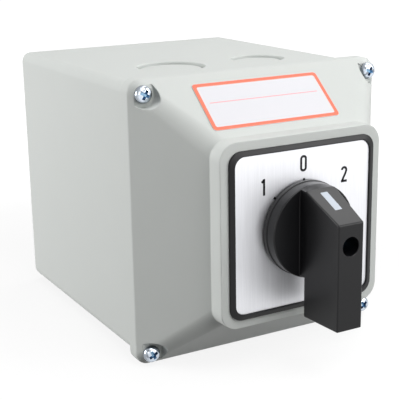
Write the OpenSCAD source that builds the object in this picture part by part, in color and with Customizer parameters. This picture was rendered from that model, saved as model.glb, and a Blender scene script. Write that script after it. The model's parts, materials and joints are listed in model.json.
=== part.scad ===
// Rotary changeover switch in a plastic wall box, positions 1, 0 and 2.
// The origin is the middle of the box's wall side. Up is +Z and the dial faces -Y.

/* [Base box] */
// Width and height of the square box
box_w = 106; // [103:0.5:112]
// Depth of the box from the wall to its rim
box_depth = 112; // [108:0.5:130]
// Thickness of the side walls
wall_t = 3; // [2.4:0.1:3.4]
// Thickness of the panel that lies on the wall
back_t = 3.2; // [2.4:0.1:5]
// Corner radius of the box
box_r = 4; // [3:0.1:5]
// Distance between the wall fixing holes, both ways
wall_hole_pitch = 76; // [60:1:80]
// Diameter of the wall fixing holes
wall_hole_d = 6; // [4.5:0.1:7]
// Diameter of the larger cable knockout
big_knockout_d = 27.6; // [20:0.2:32]
// Diameter of the smaller cable knockout
small_knockout_d = 22; // [14:0.2:24]
// How deep the knockouts are sunk
knockout_depth = 1; // [0.4:0.1:1.6]
// Distance of the knockouts from the wall
knockout_from_wall = 80; // [60:1:90]
// Distance from one knockout's centre to the other's
knockout_pitch = 41; // [34:0.5:44]
// Distance of the pair's middle from the box's middle
knockout_shift = 2; // [0:0.5:6]

/* [Cover] */
// How far the cover stands out past the box
cover_overhang = 2; // [1.4:0.1:3]
// How far the cover's skirt laps over the box
skirt_lap = 2; // [1:0.1:6]
// Thickness of the cover's flat rim
cover_rim_t = 2.2; // [1.6:0.1:4]
// Corner radius of the cover
cover_r = 5; // [3:0.1:7]
// Height of the sloping faces
slope_rise = 23.7; // [20:0.1:28]
// Width of the raised panel's face left free round the black frame
panel_margin = 3.4; // [2:0.1:4]
// Corner radius of the raised panel
panel_r = 7; // [4:0.1:9]
// Height of the raised panel above the slopes
panel_rise = 7; // [6:0.1:10]
// Thickness of the sloping walls
cover_t = 2.8; // [2:0.1:3]
// Thickness of the raised panel
panel_t = 3.3; // [3.2:0.1:5]
// Thickness of the gasket under the cover
gasket_t = 1.4; // [0.8:0.1:3]

/* [Cover screws] */
// Distance of the screws from the sides of the box
screw_inset_x = 3; // [2.5:0.1:3.4]
// Distance of the screws from the top and the bottom of the box
screw_inset_y = 3.1; // [2.6:0.1:3.8]
// Diameter of the thread
screw_d = 3.5; // [2.5:0.1:3.8]
// Diameter of the head
screw_head_d = 6.6; // [6:0.1:7.6]
// Height of the head
screw_head_h = 3; // [2.4:0.1:4]
// Length below the head
screw_len = 18; // [12:0.5:28]
// Radius of the round pocket cut round each screw
pocket_r = 5; // [4.4:0.1:6]
// Height of the pocket's floor above the cover's flat rim
pocket_rise = 2.2; // [1:0.1:3]

/* [Dial] */
// Width and height of the black frame
dial_w = 63; // [60:0.5:66]
// Corner radius of the black frame
dial_r = 5; // [3:0.1:7]
// Width of the frame's border
dial_border = 2; // [1.4:0.1:3.5]
// Thickness of the frame at its border
dial_t = 1.4; // [1.3:0.1:3]
// Thickness of the metal plate
plate_t = 0.4; // [0.3:0.1:0.5]
// Depth that the frame's border stands above the plate
plate_sink = 0.6; // [0.2:0.05:0.6]

/* [Label] */
// Width of the label
label_w = 54.7; // [40:0.1:60]
// Height of the label along the slope
label_h = 22; // [14:0.1:24]
// Distance of the label's top edge from the rim along the slope
label_from_rim = 5.3; // [3:0.1:6]
// Sideways shift of the label to the left
label_shift = 3.8; // [0:0.1:5]
// Thickness of the label
label_t = 0.25; // [0.15:0.05:0.5]

/* [Handle] */
// Gap between the dial's plate and the handle's back
handle_gap = 0.9; // [0.3:0.1:1.2]
// Height of the handle from its back to its front face
handle_h = 27.7; // [24:0.1:34]
// Radius of the thin disc against the dial
disc_r = 17.9; // [17.9:0.1:20]
// Thickness of the thin disc
disc_t = 1.5; // [0.8:0.1:2]
// Radius of the drum
drum_r = 17.6; // [17:0.1:17.8]
// Height of the drum with its disc
drum_h = 6.1; // [5.2:0.1:7]
// Width of the grip at its front face
grip_front_w = 10.6; // [9.5:0.1:12.4]
// Width of the grip at the back of its tail
grip_back_w = 12.8; // [12.4:0.1:15]
// Reach of the grip's tail below the axis
tail_reach = 31; // [26:0.1:36]
// Depth of the grip's tail
tail_depth = 19.1; // [15:0.1:19.6]
// Height of the front face above the axis
brow_reach = 8.2; // [6:0.1:10]
// Width of the white marker
marker_w = 3; // [2:0.1:5]
// Length of the white marker
marker_len = 10; // [6:0.1:11]
// Distance of the marker from the front face along the slope
marker_start = 8.1; // [5:0.1:9]
// Diameter of the screw hole in the front face
handle_hole_d = 6.8; // [6.4:0.1:8]
// Turn from the middle position to 1 or to 2
turn = 45; // [30:5:45]

/* [Switch] */
// Gap between the switch and the inside of the raised panel
switch_gap = 2.1; // [1:0.1:2.5]
// Depth of one contact deck
deck_t = 17; // [16.6:0.1:18]
// Depth of the detent housing
housing_t = 16; // [15:0.1:18]
// Thickness of the mounting flange
flange_t = 4; // [3:0.1:5]
// Thickness of the gasket between the flange and the cover
panel_gasket_t = 1; // [0.5:0.1:2]
// Thickness of the end plate
end_t = 5; // [3.5:0.1:7]
// Side of the square shaft
shaft_w = 8; // [7:0.1:8.4]
// Distance of the panel screws from the sides of the switch
panel_screw_inset = 6; // [5:0.1:7]
// Travel of a contact bridge from the middle position
contact_travel = 1.5; // [1:0.1:1.6]
// Gap of the open contacts in the middle position
contact_gap = 1.7; // [1.65:0.05:2.2]
// Travel of a detent plunger into the star wheel's notches
plunger_drop = 1.2; // [0.6:0.1:1.2]

/* [Hidden] */
deck_count = 4;
$fn = 64;
hull_facets = 32;

// Fits and cuts
running_fit = 0.05;
thread_fit = 0.05;
slide_fit = 0.15;
moving_gap = 0.3;
overrun = 1;
slab = 0.01;

// Depths along the switch, counted from the wall
seat_z = box_depth + gasket_t;
rim_z = seat_z + cover_rim_t;
pocket_z = rim_z + pocket_rise;
foot_z = rim_z + slope_rise;
panel_z = foot_z + panel_rise;
ceiling_z = panel_z - panel_t;
flange_z = ceiling_z - panel_gasket_t - flange_t;
housing_z = flange_z - housing_t;
stack_z = housing_z - deck_count * deck_t;
end_z = stack_z - end_t;
frame_floor_t = dial_t - plate_sink - plate_t;
plate_z = panel_z + frame_floor_t;
handle_z = plate_z + plate_t + handle_gap;
drum_z = handle_z + drum_h;
front_z = handle_z + handle_h;
tail_z = front_z - tail_depth;

// Cover shell
cover_w = box_w + 2 * cover_overhang;
panel_w = dial_w + 2 * panel_margin;
skirt_z = box_depth - skirt_lap;
skirt_fit = 0.15;
slope_run = (cover_w - panel_w) / 2;
slope_len = norm([slope_run, slope_rise]);
slope_angle = atan2(slope_rise, slope_run);
wall_run = cover_t * slope_len / slope_rise;
mouth_w = box_w - 2 * wall_t;
mouth_r = box_r - wall_t / 2;
inner_panel_w = panel_w - 2 * cover_t;
inner_panel_r = panel_r - cover_t;

// Box fittings
post_r = 4.6;
screw_x = box_w / 2 - screw_inset_x;
screw_y = box_w / 2 - screw_inset_y;
screw_hole_r = screw_d / 2 + 2 * thread_fit;
crown_share = 1.7;
recess_w = 1.1;
recess_len = 4.8;
recess_depth = 1.6;
recess_share = 0.7;

// Dial
plate_w = dial_w - 2 * dial_border;
plate_r = dial_r - dial_border / 2;
dial_hole_r = 10;
shaft_hole_r = 9;

// Room for the switch behind the raised panel
deck_w = inner_panel_w - 2 * switch_gap;
deck_wall_t = 3;
deck_in = deck_w / 2 - deck_wall_t;
tie_inset = 5;
tie_pitch = deck_w - 2 * tie_inset;

// Panel screws
panel_screw_pitch = deck_w - 2 * panel_screw_inset;
panel_screw_d = 4;
panel_head_d = 6.8;
panel_head_h = 2.2;

// Shaft
collar_share = 0.8;
collar_r = collar_share * shaft_w;
journal_r = 3.9;
neck_r = 3;
neck_len = 1.2;
tip_len = 1;
ring_t = 1;
ring_r = 6;
square_fit = 0.1;

// Handle
slope_over = 0.5;
root_sink = 2;
root_reach = 16;
socket_depth = 11.9;
web_t = 4;
marker_depth = 0.4;
handle_screw_d = 4;
handle_head_d = handle_hole_d - 2 * moving_gap;
handle_head_h = 2.4;
handle_screw_len = 10;
grip_draft = (grip_back_w - grip_front_w) / 2 / tail_depth;

// Decks and cams
deck_floor_t = 3;
deck_chamfer = 3;
hub_share = 0.125;
hub_r = hub_share * deck_w;
hub_gap = 0.5;
cam_share = 0.175;
cam_r = cam_share * deck_w;
cam_gap = 1;
cam_t = 8;
mid_z = deck_floor_t + (deck_t - deck_floor_t) / 2;
cam_step = 5;
tie_r = 2;
tie_head_r = 4;
tie_head_h = 3.2;
washer_t = 1;
washer_r = 4.6;

// Contacts, as places left of the axis
nose_r = 1.5;
nose_len = 1.7;
plunger_w = 8;
plunger_t = 8;
stem_w = 4;
stem_gap = 1;
bar_t = 1.6;
bar_end = 2.5;
bar_gap = 2;
bar_w = 6;
tip_t = 0.8;
tip_r = 1.9;
tip_inset = 3;
strip_t = 1.2;
strip_wall_t = 2.2;
strip_share = 0.25;
strip_x = cam_r + contact_travel + cam_gap + strip_wall_t;
tip_face = strip_x + strip_t + tip_t;
bar_x = tip_face + contact_gap + tip_t;
nose_x = cam_r + moving_gap;
spring_out_r = 3.7;
spring_in_r = 3;
spring_len = deck_in - bar_x - bar_t;
stem_len = bar_t + spring_len - contact_travel - stem_gap;
terminal_inset = 8;
terminal_land = 3.2;
terminal_lip = 1.7;
terminal_y = deck_w / 2 - terminal_inset;
terminal_x = (strip_x + strip_t + deck_in) / 2;
terminal_in = strip_x - terminal_lip;
strip_start = strip_share * terminal_y;
tip_y = strip_start + tip_inset;
bar_len = 2 * (tip_y + bar_end);
pocket_half = bar_len / 2 + bar_gap;
terminal_screw_r = 1.7;
terminal_head_r = 3.1;
terminal_head_h = 2.4;
terminal_screw_len = terminal_y + strip_t - pocket_half - terminal_land;
pad_gap = 1;
pad_len = deck_in - pad_gap - strip_x;
slot_fit = 0.1;

// Detent
notches = 8;
star_t = 6;
star_z = 3.4;
star_step = 3;
star_share = 0.22;
star_r = star_share * deck_w;
star_gap = 2.8;
detent_floor_t = 3;
cavity_r = star_r + star_gap;
detent_nose_r = 2.5;
detent_w = 7.6;
detent_t = 6.2;
detent_z = 3.3;
detent_len = 8;
detent_wall_t = 2.5;
detent_spring_out_r = 2.6;
detent_spring_in_r = 1.9;
notch_gap = 0.7;
star_lobe = (plunger_drop + notch_gap - moving_gap) / 2;
lever_z = 10;
lever_gap = 0.6;
lever_t = housing_t - lever_z - lever_gap;
lever_hub_r = 8;
lug_gap = 1;
lug_r = cavity_r - lug_gap;
lug_half = 12;
stop_half = 10;
stop_gap = 0.6;
stop_in_r = 9.5;
stop_z = 9.9;

// Turns a piece that is drawn facing up so that it faces forward, its base at the depth d
module at_depth(d) {
    rotate([90, 0, 0]) translate([0, 0, d]) children();
}

module round_square(w, r) {
    square([w, w - 2 * r], center = true);
    square([w - 2 * r, w], center = true);
    for (sx = [-1, 1], sy = [-1, 1])
        translate([sx * (w / 2 - r), sy * (w / 2 - r)]) circle(r = r);
}

module at_corners(x, y) {
    for (sx = [-1, 1], sy = [-1, 1]) translate([sx * x, sy * y]) children();
}

module ring(outer, inner, h) {
    difference() {
        cylinder(r = outer, h = h);
        translate([0, 0, -overrun]) cylinder(r = inner, h = h + 2 * overrun);
    }
}

// Base box
module knockout(x, d) {
    for (side = [-1, 1])
        translate([x, side * (box_w / 2 - knockout_depth), knockout_from_wall])
            rotate([-90 * side, 0, 0]) cylinder(d = d, h = knockout_depth + overrun);
}

module base_box() {
    color([0.8, 0.81, 0.79]) at_depth(0) difference() {
        union() {
            difference() {
                linear_extrude(box_depth) round_square(box_w, box_r);
                translate([0, 0, back_t]) linear_extrude(box_depth) round_square(mouth_w, mouth_r);
            }
            intersection() {
                linear_extrude(box_depth) round_square(box_w, box_r);
                at_corners(screw_x, screw_y) cylinder(r = post_r, h = box_depth);
            }
        }
        at_corners(screw_x, screw_y) translate([0, 0, box_depth - screw_len])
            cylinder(d = screw_d + 2 * thread_fit, h = screw_len + overrun);
        at_corners(wall_hole_pitch / 2, wall_hole_pitch / 2) translate([0, 0, -overrun])
            cylinder(d = wall_hole_d, h = back_t + 2 * overrun);
        knockout(knockout_shift - knockout_pitch / 2, big_knockout_d);
        knockout(knockout_shift + knockout_pitch / 2, small_knockout_d);
    }
}

// Cover
module cover_outside() {
    hull() {
        linear_extrude(rim_z - skirt_z) round_square(cover_w, cover_r, $fn = hull_facets);
        translate([0, 0, foot_z - skirt_z - slab])
            linear_extrude(slab) round_square(panel_w, panel_r, $fn = hull_facets);
    }
}

// Depth at which the inside of the sloping walls is w wide
function slope_inside_z(w) = rim_z + ((cover_w - w) / 2 - wall_run) * slope_rise / slope_run;

module cover_inside() {
    translate([0, 0, -overrun]) linear_extrude(seat_z - skirt_z + overrun)
        round_square(box_w + 2 * skirt_fit, box_r + skirt_fit);
    linear_extrude(slope_inside_z(mouth_w) - skirt_z + slab) round_square(mouth_w, mouth_r);
    hull() {
        translate([0, 0, slope_inside_z(mouth_w) - skirt_z])
            linear_extrude(slab) round_square(mouth_w, mouth_r, $fn = hull_facets);
        translate([0, 0, slope_inside_z(inner_panel_w) - skirt_z])
            linear_extrude(slab) round_square(inner_panel_w, inner_panel_r, $fn = hull_facets);
    }
    linear_extrude(ceiling_z - skirt_z) round_square(inner_panel_w, inner_panel_r);
}

module cover() {
    color([0.8, 0.81, 0.79]) at_depth(skirt_z) difference() {
        union() {
            difference() {
                union() {
                    cover_outside();
                    translate([0, 0, foot_z - skirt_z - cover_t])
                        linear_extrude(panel_rise + cover_t) round_square(panel_w, panel_r);
                }
                cover_inside();
            }
            intersection() {
                cover_outside();
                at_corners(screw_x, screw_y) translate([0, 0, seat_z - skirt_z])
                    cylinder(r = pocket_r + cover_t, h = slope_rise);
            }
        }
        at_corners(screw_x, screw_y) {
            translate([0, 0, pocket_z - skirt_z]) cylinder(r = pocket_r, h = slope_rise);
            cylinder(r = screw_hole_r, h = rim_z);
        }
        at_corners(panel_screw_pitch / 2, panel_screw_pitch / 2) {
            translate([0, 0, ceiling_z - skirt_z - overrun])
                cylinder(d = panel_screw_d + 2 * square_fit, h = panel_t + 2 * overrun);
            translate([0, 0, panel_z - skirt_z - panel_head_h])
                cylinder(d = panel_head_d + 2 * moving_gap, h = panel_head_h + overrun);
        }
        translate([0, 0, ceiling_z - skirt_z - overrun])
            cylinder(r = shaft_hole_r, h = panel_t + 2 * overrun);
    }
}

module cover_gasket() {
    color([0.2, 0.2, 0.2]) at_depth(box_depth) linear_extrude(gasket_t) difference() {
        intersection() {
            round_square(box_w, box_r);
            union() {
                difference() {
                    round_square(box_w, box_r);
                    round_square(mouth_w, mouth_r);
                }
                at_corners(screw_x, screw_y) circle(r = post_r);
            }
        }
        at_corners(screw_x, screw_y) circle(r = screw_hole_r);
    }
}

module cross_recess(w, len, depth) {
    for (a = [0, 90]) rotate([0, 0, a])
        translate([-len / 2, -w / 2, -depth]) cube([len, w, depth + overrun]);
}

// Screw with its head's underside at zero, pointing down
module crowned_screw(d, len, head_d, head_h) {
    crown = head_d / 2 * crown_share;
    difference() {
        union() {
            intersection() {
                cylinder(d = head_d, h = head_h);
                translate([0, 0, head_h - crown]) sphere(r = crown);
            }
            translate([0, 0, -len]) cylinder(d = d, h = len + overrun);
        }
        translate([0, 0, head_h])
            cross_recess(recess_w, min(recess_len, head_d * recess_share), recess_depth);
    }
}

module cover_screws() {
    color([0.78, 0.8, 0.84]) at_depth(pocket_z) at_corners(screw_x, screw_y)
        crowned_screw(screw_d, screw_len, screw_head_d, screw_head_h);
}

// Label on the upper slope
module label() {
    color([0.97, 0.97, 0.96]) at_depth(rim_z) translate([-label_shift, cover_w / 2, 0])
        rotate([-slope_angle, 0, 0])
            translate([-label_w / 2, -label_from_rim - label_h, 0]) cube([label_w, label_h, label_t]);
}

// Dial
module dial_frame() {
    color([0.1, 0.1, 0.11]) at_depth(panel_z) difference() {
        linear_extrude(dial_t) round_square(dial_w, dial_r);
        translate([0, 0, frame_floor_t]) linear_extrude(dial_t) round_square(plate_w, plate_r);
        translate([0, 0, -overrun]) cylinder(r = dial_hole_r, h = dial_t + overrun);
    }
}

module dial_plate() {
    color([0.87, 0.87, 0.87]) at_depth(plate_z) difference() {
        linear_extrude(plate_t) round_square(plate_w - 2 * slot_fit, plate_r - slot_fit);
        translate([0, 0, -overrun]) cylinder(r = dial_hole_r, h = plate_t + 2 * overrun);
    }
}

// Parts that clamp the switch behind the cover
module panel_screws() {
    color([0.75, 0.75, 0.77]) at_depth(panel_z - panel_head_h)
        at_corners(panel_screw_pitch / 2, panel_screw_pitch / 2) difference() {
            union() {
                cylinder(d = panel_head_d, h = panel_head_h);
                translate([0, 0, flange_z - panel_z + panel_head_h])
                    cylinder(d = panel_screw_d, h = panel_z - flange_z - panel_head_h);
            }
            translate([0, 0, panel_head_h])
                cross_recess(recess_w, recess_len, recess_depth);
        }
}

module panel_gasket() {
    color([0.2, 0.2, 0.2]) at_depth(flange_z + flange_t) difference() {
        linear_extrude(panel_gasket_t) square(deck_w, center = true);
        translate([0, 0, -overrun]) {
            cylinder(r = collar_r + moving_gap, h = panel_gasket_t + 2 * overrun);
            at_corners(panel_screw_pitch / 2, panel_screw_pitch / 2)
                cylinder(d = panel_screw_d + 2 * square_fit, h = panel_gasket_t + 2 * overrun);
        }
    }
}

module shaft_seal() {
    color([0.15, 0.15, 0.15]) at_depth(ceiling_z)
        ring(shaft_hole_r - running_fit, collar_r + slide_fit, panel_t);
}

module mounting_flange() {
    color([0.25, 0.25, 0.27]) at_depth(flange_z) difference() {
        linear_extrude(flange_t) square(deck_w, center = true);
        translate([0, 0, -overrun]) {
            cylinder(r = collar_r + running_fit, h = flange_t + 2 * overrun);
            at_corners(panel_screw_pitch / 2, panel_screw_pitch / 2)
                cylinder(d = panel_screw_d + 2 * thread_fit, h = flange_t + 2 * overrun);
            for (side = [-1, 1]) translate([0, side * tie_pitch / 2, 0])
                cylinder(r = tie_r + thread_fit, h = flange_t + 2 * overrun);
        }
    }
}

// Detent
module wedge(mid, half, r) {
    polygon([[0, 0], for (a = [mid - half, mid, mid + half]) r * [cos(a), sin(a)]]);
}

module stops() {
    for (side = [-1, 1]) difference() {
        intersection() {
            linear_extrude(housing_t - stop_z)
                wedge(90 + side * (turn + lug_half + stop_gap + stop_half), stop_half, deck_w);
            cylinder(r = cavity_r + slide_fit, h = housing_t);
        }
        translate([0, 0, -overrun]) cylinder(r = stop_in_r, h = housing_t + overrun);
    }
}

module detent_housing() {
    channel = deck_w / 2 - detent_wall_t;
    color([0.3, 0.3, 0.32]) at_depth(housing_z) {
        difference() {
            linear_extrude(housing_t) square(deck_w, center = true);
            translate([0, 0, -overrun]) {
                cylinder(r = hub_r + hub_gap, h = housing_t);
                for (side = [-1, 1]) translate([0, side * tie_pitch / 2, 0])
                    cylinder(r = tie_r + square_fit, h = housing_t + 2 * overrun);
            }
            translate([0, 0, detent_floor_t]) {
                cylinder(r = cavity_r, h = housing_t);
                translate([-channel, -detent_w / 2 - slide_fit, 0])
                    cube([2 * channel, detent_w + 2 * slide_fit, housing_t]);
            }
        }
        translate([0, 0, stop_z]) stops();
    }
}

function star_edge(a) = star_r - star_lobe * cos(notches * a);

module square_bore(h) {
    translate([0, 0, h / 2])
        cube([shaft_w + 2 * square_fit, shaft_w + 2 * square_fit, h + 2 * overrun], center = true);
}

module star_wheel() {
    color([0.85, 0.78, 0.55]) at_depth(housing_z + star_z) difference() {
        linear_extrude(star_t)
            polygon([for (a = [0:star_step:359]) star_edge(a) * [cos(a), sin(a)]]);
        square_bore(star_t);
    }
}

module stop_lever() {
    color([0.7, 0.7, 0.72]) at_depth(housing_z + lever_z) difference() {
        union() {
            cylinder(r = lever_hub_r, h = lever_t);
            intersection() {
                cylinder(r = lug_r, h = lever_t);
                linear_extrude(lever_t) wedge(90, lug_half, deck_w);
            }
        }
        square_bore(lever_t);
    }
}

// Pieces left of the axis, mirrored for the right
module on_side(side) {
    mirror([side > 0 ? 1 : 0, 0, 0]) children();
}

module detent_plunger(side) {
    nose = star_r + star_lobe + moving_gap;
    color([0.9, 0.9, 0.88]) at_depth(housing_z + detent_z) on_side(side) linear_extrude(detent_t) {
        translate([-nose - detent_nose_r, 0]) circle(r = detent_nose_r);
        translate([-nose - 2 * detent_nose_r, -detent_nose_r])
            square([detent_nose_r, 2 * detent_nose_r]);
        translate([-nose - detent_len, -detent_w / 2])
            square([detent_len - 2 * detent_nose_r, detent_w]);
    }
}

module detent_spring(side) {
    back = star_r + star_lobe + moving_gap + detent_len;
    color([0.7, 0.72, 0.75]) at_depth(housing_z + detent_z + detent_t / 2) on_side(side)
        translate([-back, 0, 0]) rotate([0, -90, 0])
            ring(detent_spring_out_r, detent_spring_in_r, deck_w / 2 - detent_wall_t - back);
}

// Contact decks
function deck_z(i) = housing_z - (i + 1) * deck_t;

module deck_outline() {
    e = deck_w / 2;
    c = e - deck_chamfer;
    polygon([[e, c], [c, e], [-c, e], [-e, c], [-e, -c], [-c, -e], [c, -e], [e, -c]]);
}

module deck_side_cuts() {
    translate([-strip_x - overrun, -plunger_w / 2 - slide_fit, 0])
        cube([strip_x, plunger_w + 2 * slide_fit, deck_t]);
    translate([-deck_in, -pocket_half, 0]) cube([deck_in - strip_x, 2 * pocket_half, deck_t]);
    for (end = [0, 1]) mirror([0, end, 0]) {
        translate([-strip_x - strip_t - slot_fit, 0, 0])
            cube([strip_t + slot_fit, terminal_y + overrun, deck_t]);
        translate([-deck_in, terminal_y, 0]) cube([deck_in - terminal_in, deck_w, deck_t]);
        translate([-terminal_x, terminal_y - terminal_screw_len, mid_z - deck_floor_t])
            rotate([-90, 0, 0])
                cylinder(r = terminal_screw_r + thread_fit, h = terminal_screw_len + overrun);
    }
}

module deck(i) {
    color([0.86, 0.84, 0.78]) at_depth(deck_z(i)) difference() {
        linear_extrude(deck_t) deck_outline();
        translate([0, 0, -overrun]) {
            cylinder(r = hub_r + hub_gap, h = deck_t);
            for (side = [-1, 1]) translate([0, side * tie_pitch / 2, 0])
                cylinder(r = tie_r + square_fit, h = deck_t + 2 * overrun);
        }
        translate([0, 0, deck_floor_t]) {
            cylinder(r = cam_r + contact_travel + cam_gap, h = deck_t);
            for (side = [-1, 1]) on_side(side) deck_side_cuts();
        }
    }
}

// A cam is low round its top, high round its bottom, and an even spiral over the turn between them
function level(a) = a <= 90 ? a : a <= 270 ? 180 - a : a - 360;
function lift_share(a) = max(-1, min(1, a / turn));
function cam_radius(a) = cam_r - contact_travel * lift_share(level(a));

module cam(i) {
    color([0.75, 0.3, 0.22]) at_depth(deck_z(i)) difference() {
        union() {
            cylinder(r = hub_r, h = deck_t);
            translate([0, 0, mid_z - cam_t / 2]) linear_extrude(cam_t) polygon([
                for (a = [0:cam_step:359]) cam_radius(a) * [cos(a), sin(a)]
            ]);
        }
        square_bore(deck_t);
    }
}

module contact_strip() {
    difference() {
        union() {
            translate([-strip_x - strip_t, strip_start, mid_z - bar_w / 2])
                cube([strip_t, terminal_y + strip_t - strip_start, bar_w]);
            translate([-strip_x - pad_len, terminal_y, mid_z - bar_w / 2]) cube([pad_len, strip_t, bar_w]);
            translate([-strip_x - strip_t - tip_t, tip_y, mid_z])
                rotate([0, 90, 0]) cylinder(r = tip_r, h = tip_t);
        }
        translate([-terminal_x, terminal_y - overrun, mid_z])
            rotate([-90, 0, 0]) cylinder(r = terminal_screw_r + square_fit, h = strip_t + 2 * overrun);
    }
}

module fixed_contacts(i) {
    color([0.84, 0.6, 0.38]) at_depth(deck_z(i))
        for (side = [-1, 1], end = [0, 1]) on_side(side) mirror([0, end, 0]) contact_strip();
}

module terminal_screws() {
    color([0.8, 0.74, 0.5]) for (i = [0:deck_count - 1]) at_depth(deck_z(i))
        for (side = [-1, 1], end = [0, 1]) on_side(side) mirror([0, end, 0])
            translate([-terminal_x, terminal_y + strip_t, mid_z]) rotate([-90, 0, 0]) difference() {
                union() {
                    cylinder(r = terminal_head_r, h = terminal_head_h);
                    translate([0, 0, strip_t - terminal_screw_len])
                        cylinder(r = terminal_screw_r, h = terminal_screw_len);
                }
                translate([0, 0, terminal_head_h])
                    cross_recess(recess_w, 2 * terminal_head_r + overrun, recess_w);
            }
}

module plunger(i, side) {
    shoulder = nose_x + nose_r + nose_len;
    color([0.93, 0.93, 0.9]) at_depth(deck_z(i) + mid_z) on_side(side) {
        translate([0, 0, -plunger_t / 2]) linear_extrude(plunger_t) {
            translate([-nose_x - nose_r, 0]) circle(r = nose_r);
            translate([-shoulder, -nose_r]) square([nose_len, 2 * nose_r]);
            translate([-bar_x, -plunger_w / 2]) square([bar_x - shoulder, plunger_w]);
        }
        translate([-bar_x - stem_len, -stem_w / 2, -stem_w / 2]) cube([stem_len + overrun, stem_w, stem_w]);
    }
}

module bridge(i, side) {
    window = stem_w + 2 * slot_fit;
    color([0.84, 0.6, 0.38]) at_depth(deck_z(i) + mid_z) on_side(side) difference() {
        union() {
            translate([-bar_x - bar_t, -bar_len / 2, -bar_w / 2]) cube([bar_t, bar_len, bar_w]);
            for (end = [-1, 1]) translate([-bar_x, end * tip_y, 0])
                rotate([0, 90, 0]) cylinder(r = tip_r, h = tip_t);
        }
        translate([-bar_x - bar_t - overrun, -window / 2, -window / 2])
            cube([bar_t + 2 * overrun, window, window]);
    }
}

module contact_springs(side) {
    color([0.7, 0.72, 0.75]) for (i = [0:deck_count - 1]) at_depth(deck_z(i) + mid_z) on_side(side)
        translate([-bar_x - bar_t, 0, 0]) rotate([0, -90, 0])
            ring(spring_out_r, spring_in_r, spring_len);
}

// Back of the stack
module end_plate() {
    color([0.3, 0.3, 0.32]) at_depth(end_z) difference() {
        linear_extrude(end_t) deck_outline();
        translate([0, 0, -overrun]) {
            cylinder(r = journal_r + running_fit, h = end_t + 2 * overrun);
            for (side = [-1, 1]) translate([0, side * tie_pitch / 2, 0])
                cylinder(r = tie_r + square_fit, h = end_t + 2 * overrun);
        }
    }
}

module tie_bolts() {
    color([0.75, 0.76, 0.78]) at_depth(end_z - washer_t) for (side = [-1, 1])
        translate([0, side * tie_pitch / 2, 0]) {
            translate([0, 0, -tie_head_h]) cylinder(r = tie_head_r, h = tie_head_h, $fn = 6);
            cylinder(r = tie_r, h = flange_z + flange_t - end_z + washer_t);
        }
}

module tie_washers() {
    color([0.8, 0.81, 0.83]) at_depth(end_z - washer_t) for (side = [-1, 1])
        translate([0, side * tie_pitch / 2, 0]) ring(washer_r, tie_r + square_fit, washer_t);
}

// Turning parts
module shaft() {
    top = handle_z + socket_depth - moving_gap;
    collar_z = housing_z + lever_z + lever_t;
    ring_z = end_z - moving_gap - neck_len;
    color([0.72, 0.73, 0.75]) at_depth(0) difference() {
        union() {
            translate([-shaft_w / 2, -shaft_w / 2, stack_z]) cube([shaft_w, shaft_w, top - stack_z]);
            translate([0, 0, collar_z]) cylinder(r = collar_r, h = panel_z - collar_z);
            translate([0, 0, end_z - moving_gap]) cylinder(r = journal_r, h = end_t + moving_gap);
            translate([0, 0, ring_z]) cylinder(r = neck_r, h = neck_len + overrun);
            translate([0, 0, ring_z - tip_len]) cylinder(r = journal_r, h = tip_len);
        }
        translate([0, 0, top - handle_screw_len])
            cylinder(d = handle_screw_d + 2 * thread_fit, h = handle_screw_len + overrun);
    }
}

module retaining_ring() {
    color([0.6, 0.61, 0.63]) at_depth(end_z - moving_gap - (neck_len + ring_t) / 2)
        ring(ring_r, neck_r + running_fit, ring_t);
}

// Outline of the grip seen from its side, as height and depth
module grip_side() {
    polygon([
        [-tail_reach, tail_z], [-tail_reach, front_z], [brow_reach, front_z],
        [drum_r + slope_over, drum_z], [drum_r + slope_over, drum_z - root_sink],
        [-root_reach, drum_z - root_sink], [-root_reach, tail_z]
    ]);
}

// Outline of the grip seen from above, with its sides drawn in towards the front
module grip_plan() {
    low = drum_z - root_sink - overrun;
    high = front_z + overrun;
    low_half = grip_back_w / 2 + (tail_z - low) * grip_draft;
    high_half = grip_front_w / 2 - overrun * grip_draft;
    polygon([[-low_half, low], [low_half, low], [high_half, high], [-high_half, high]]);
}

module grip() {
    intersection() {
        translate([-disc_r, 0, 0]) rotate([90, 0, 90]) linear_extrude(2 * disc_r) grip_side();
        translate([0, tail_reach, 0]) rotate([90, 0, 0]) linear_extrude(2 * tail_reach) grip_plan();
        union() {
            cylinder(r = drum_r, h = front_z + overrun);
            translate([-disc_r, -tail_reach - overrun, 0])
                cube([2 * disc_r, tail_reach + overrun, front_z + overrun]);
        }
    }
}

// Puts a piece on the grip's upper slope, its own Y running down to the front face
module on_slope() {
    rise = drum_r + slope_over - brow_reach;
    run = front_z - drum_z;
    translate([0, brow_reach, front_z]) rotate([atan2(run, -rise), 0, 0]) mirror([0, 1, 0]) children();
}

module marker_block(depth, fit) {
    on_slope() translate([-marker_w / 2 - fit, marker_start - fit, -depth])
        cube([marker_w + 2 * fit, marker_len + 2 * fit, depth + (fit > 0 ? overrun : 0)]);
}

module handle() {
    seat = handle_z + socket_depth + web_t;
    socket_w = shaft_w + 2 * square_fit;
    color([0.12, 0.12, 0.13]) at_depth(0) difference() {
        union() {
            translate([0, 0, handle_z]) cylinder(r = disc_r, h = disc_t);
            translate([0, 0, handle_z]) cylinder(r = drum_r, h = drum_h);
            grip();
        }
        translate([0, 0, seat]) cylinder(d = handle_hole_d, h = handle_h);
        translate([0, 0, handle_z]) cylinder(d = handle_screw_d + 2 * square_fit, h = handle_h);
        translate([0, 0, handle_z + (socket_depth - overrun) / 2])
            cube([socket_w, socket_w, socket_depth + overrun], center = true);
        marker_block(marker_depth, slot_fit);
    }
}

module handle_marker() {
    color([0.96, 0.96, 0.96]) at_depth(0) marker_block(marker_depth, 0);
}

module handle_screw() {
    color([0.7, 0.7, 0.72]) at_depth(handle_z + socket_depth + web_t)
        crowned_screw(handle_screw_d, handle_screw_len, handle_head_d, handle_head_h);
}

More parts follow.
